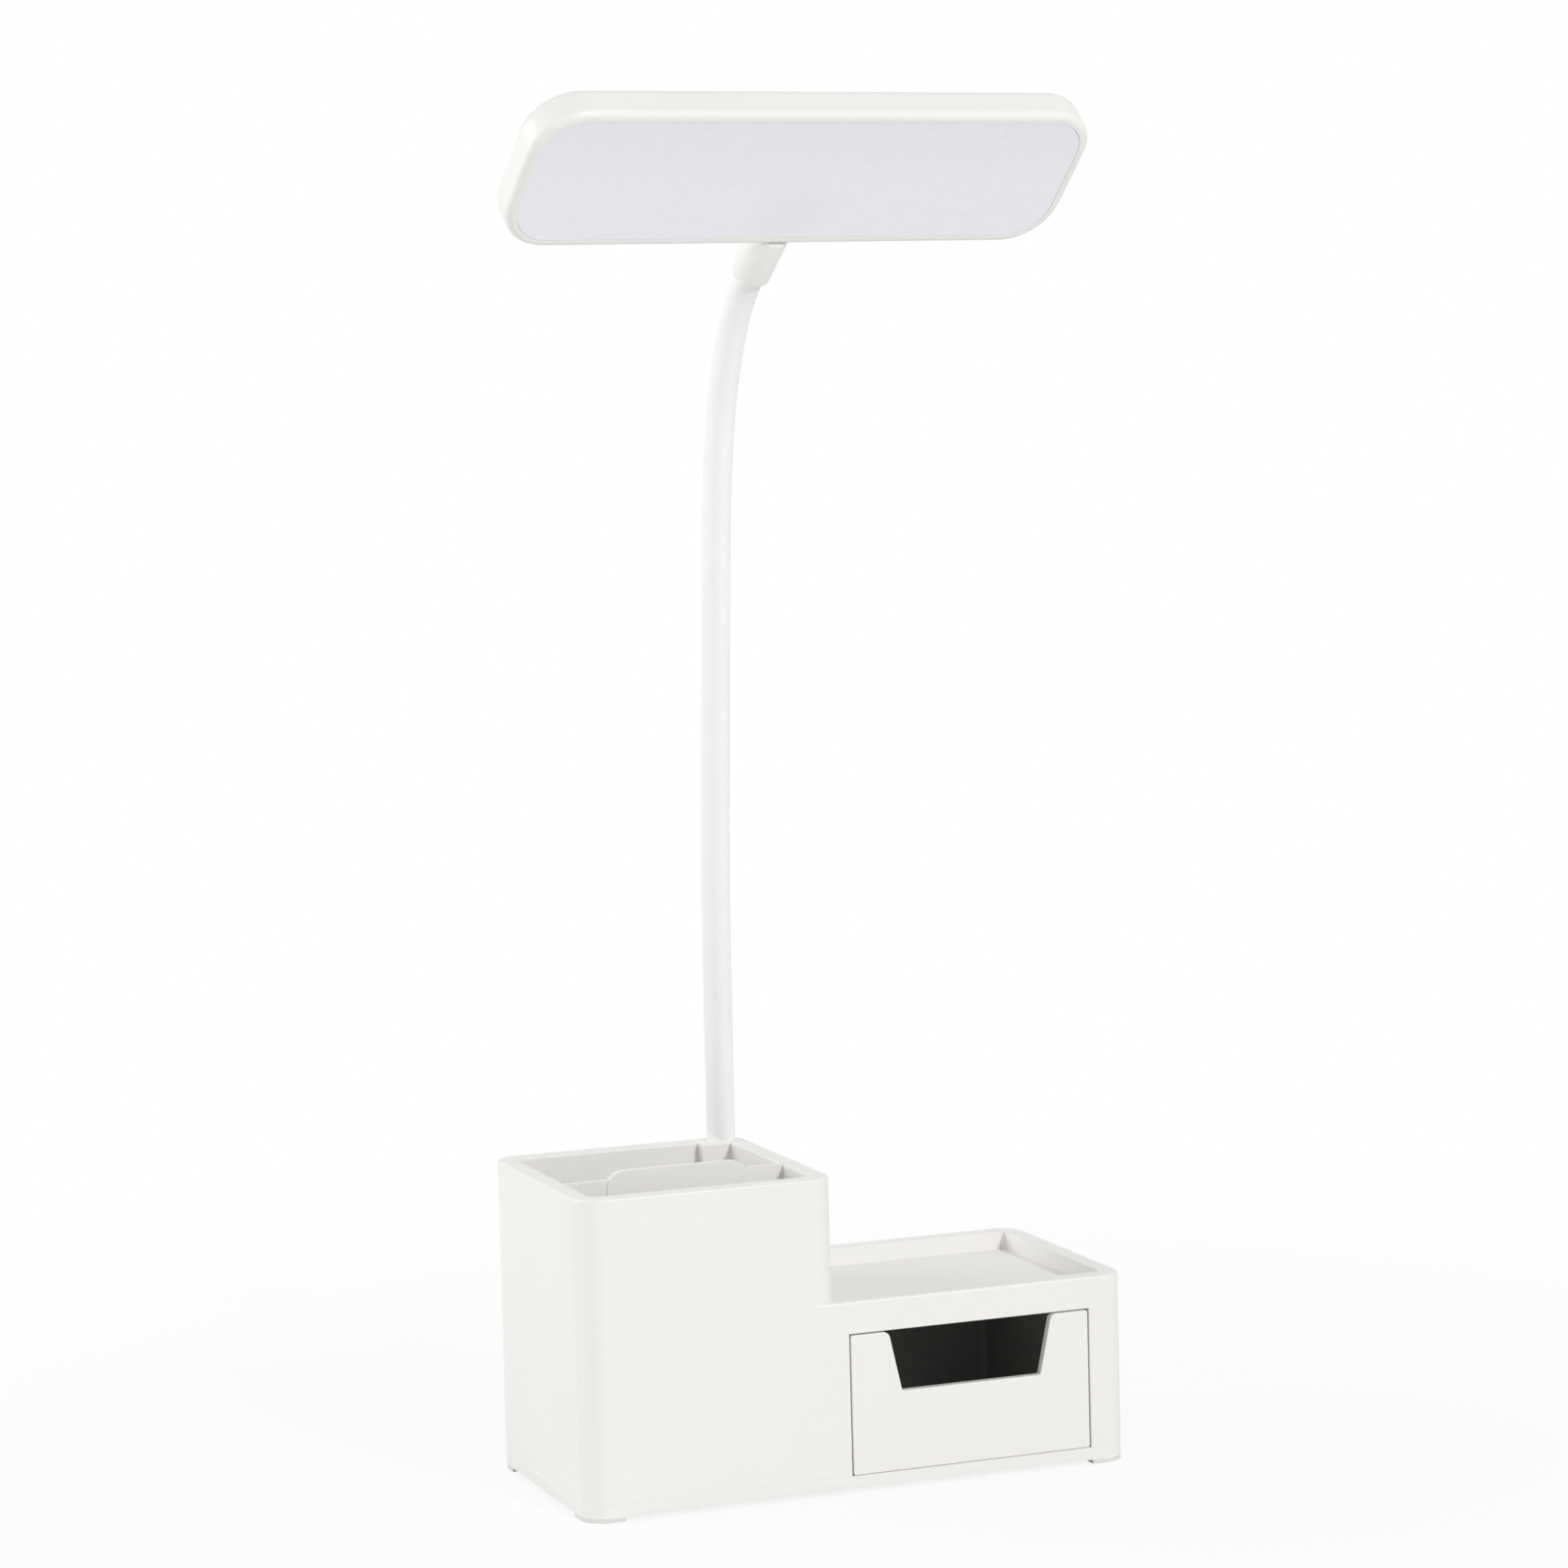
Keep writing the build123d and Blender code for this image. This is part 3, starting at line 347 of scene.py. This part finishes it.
grip = bpy.context.object
grip.name = "neck_collar_turned"
bpy.ops.object.transform_apply(location=True, rotation=True, scale=True)
bpy.ops.object.mode_set(mode="EDIT")
bpy.ops.mesh.select_all(action="SELECT")
for nextHeight, nextWide in outline[1:]:
    bpy.ops.mesh.extrude_region_move(
        TRANSFORM_OT_translate={"value": (0, 0, nextHeight - height)})
    bpy.ops.transform.resize(value=(nextWide / wide, nextWide / wide, 1))
    height, wide = nextHeight, nextWide
bpy.ops.mesh.select_all(action="SELECT")
bpy.ops.mesh.remove_doubles(threshold=collar["merge"])
bpy.ops.mesh.normals_make_consistent(inside=False)
bpy.ops.object.mode_set(mode="OBJECT")
grip.location = swivel - panelUp * collar["length"]
grip.rotation_euler = panelUp.to_track_quat("Z", "Y").to_euler()
bpy.ops.object.transform_apply(location=True, rotation=True, scale=True)
bpy.ops.object.shade_smooth_by_angle(angle=smoothAngle)
grip.data.materials.append(finishes["white_plastic"])
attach(grip, "neck_8")
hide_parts("neck_collar")
print("collar built", [round(x * 1000, 2) for x in grip.dimensions])


# floor, world and lights

studio = {"size": 40, "level": -0.0002, "paper": 0.88, "rough": 0.9, "shine": 0.1,
          "clearFrom": 0.12, "clearTo": 0.6, "clear": 0.86, "sky": 0.55}
bpy.ops.mesh.primitive_plane_add(size=studio["size"], location=(0, 0, studio["level"]))
floor = bpy.context.object
floor.name = "floor"
paper = bpy.data.materials.new("white paper")
paper.use_nodes = True
tree = paper.node_tree
shader = tree.nodes["Principled BSDF"]
shader.inputs["Base Color"].default_value = (*[studio["paper"]] * 3, 1)
shader.inputs["Roughness"].default_value = studio["rough"]
shader.inputs["Specular IOR Level"].default_value = studio["shine"]
lit = tree.nodes.new("ShaderNodeEmission")
lit.inputs["Strength"].default_value = 1.0
lit.inputs["Color"].default_value = (1, 1, 1, 1)
# seen by the camera it is mostly white, and only near the lamp does it keep the shadow
place = tree.nodes.new("ShaderNodeTexCoord").outputs["Object"]
away = rangeNode(tree, vectorNode(tree, "LENGTH", place),
                 (studio["clearFrom"], studio["clearTo"]), (studio["clear"], 1.0))
path = tree.nodes.new("ShaderNodeLightPath")
both = tree.nodes.new("ShaderNodeMixShader")
tree.links.new(mathNode(tree, "MULTIPLY", path.outputs["Is Camera Ray"], away),
               both.inputs["Fac"])
tree.links.new(shader.outputs["BSDF"], both.inputs[1])
tree.links.new(lit.outputs["Emission"], both.inputs[2])
tree.links.new(both.outputs["Shader"], tree.nodes["Material Output"].inputs["Surface"])
floor.data.materials.append(paper)
floor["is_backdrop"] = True

world = bpy.data.worlds.new("studio")
bpy.context.scene.world = world
world.use_nodes = True
tree = world.node_tree
sky = tree.nodes["Background"]
sky.inputs["Color"].default_value = (1, 1, 1, 1)
# white to the camera, to reflections and through clear things, softer as a light
path = tree.nodes.new("ShaderNodeLightPath")
seen = mathNode(tree, "MAXIMUM", path.outputs["Is Camera Ray"], path.outputs["Is Glossy Ray"])
seen = mathNode(tree, "MAXIMUM", seen, path.outputs["Is Transmission Ray"])
tree.links.new(rangeNode(tree, seen, (0, 1), (studio["sky"], 1.0), smooth=False),
               sky.inputs["Strength"])

lamps = {
    "key": {"from": (0.22, -0.865, 0.45), "away": 4.0, "size": 0.4, "power": 60.0,
            "colour": (1.0, 0.995, 0.985)},
    "left": {"from": (-0.85, 0.42, 0.3), "away": 1.6, "size": 0.9, "power": 10.0,
             "colour": (1.0, 0.985, 0.965)},
}
middle = Vector((0, 0, 0.15))  # what the lamps point at
for name, lamp in lamps.items():
    data = bpy.data.lights.new(name, "AREA")
    data.shape = "DISK"
    data.size = lamp["size"]
    data.energy = lamp["power"]
    data.color = lamp["colour"]
    obj = bpy.data.objects.new(name, data)
    bpy.context.scene.collection.objects.link(obj)
    way = Vector(lamp["from"]).normalized()
    obj.location = middle + way * lamp["away"]
    obj.rotation_euler = way.to_track_quat("Z", "Y").to_euler()
print("lights set")


# camera, at the photograph's own perspective

view = {"from": (-0.5182, -1.3369, 0.3556), "turn": -21.035, "rise": 5.349, "roll": -1.484,
        "lens": 103.167, "sensor": 36, "farthest": 60}
az, el, roll = (math.radians(view[k]) for k in ("turn", "rise", "roll"))
back = Vector((math.sin(az) * math.cos(el), -math.cos(az) * math.cos(el), math.sin(el)))
right = (-back).cross(Vector((0, 0, 1))).normalized()
up = right.cross(-back)
camX = math.cos(roll) * right + math.sin(roll) * up
camY = -math.sin(roll) * right + math.cos(roll) * up
lens = bpy.data.cameras.new("camera")
lens.lens = view["lens"]
lens.sensor_width = view["sensor"]
lens.clip_end = view["farthest"]
camera = bpy.data.objects.new("camera", lens)
bpy.context.scene.collection.objects.link(camera)
turn = Matrix((camX, camY, back)).transposed().to_4x4()
camera.matrix_world = Matrix.Translation(view["from"]) @ turn
bpy.context.scene.camera = camera
bpy.context.scene.view_settings.view_transform = "Standard"
print("camera set")

low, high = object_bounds()
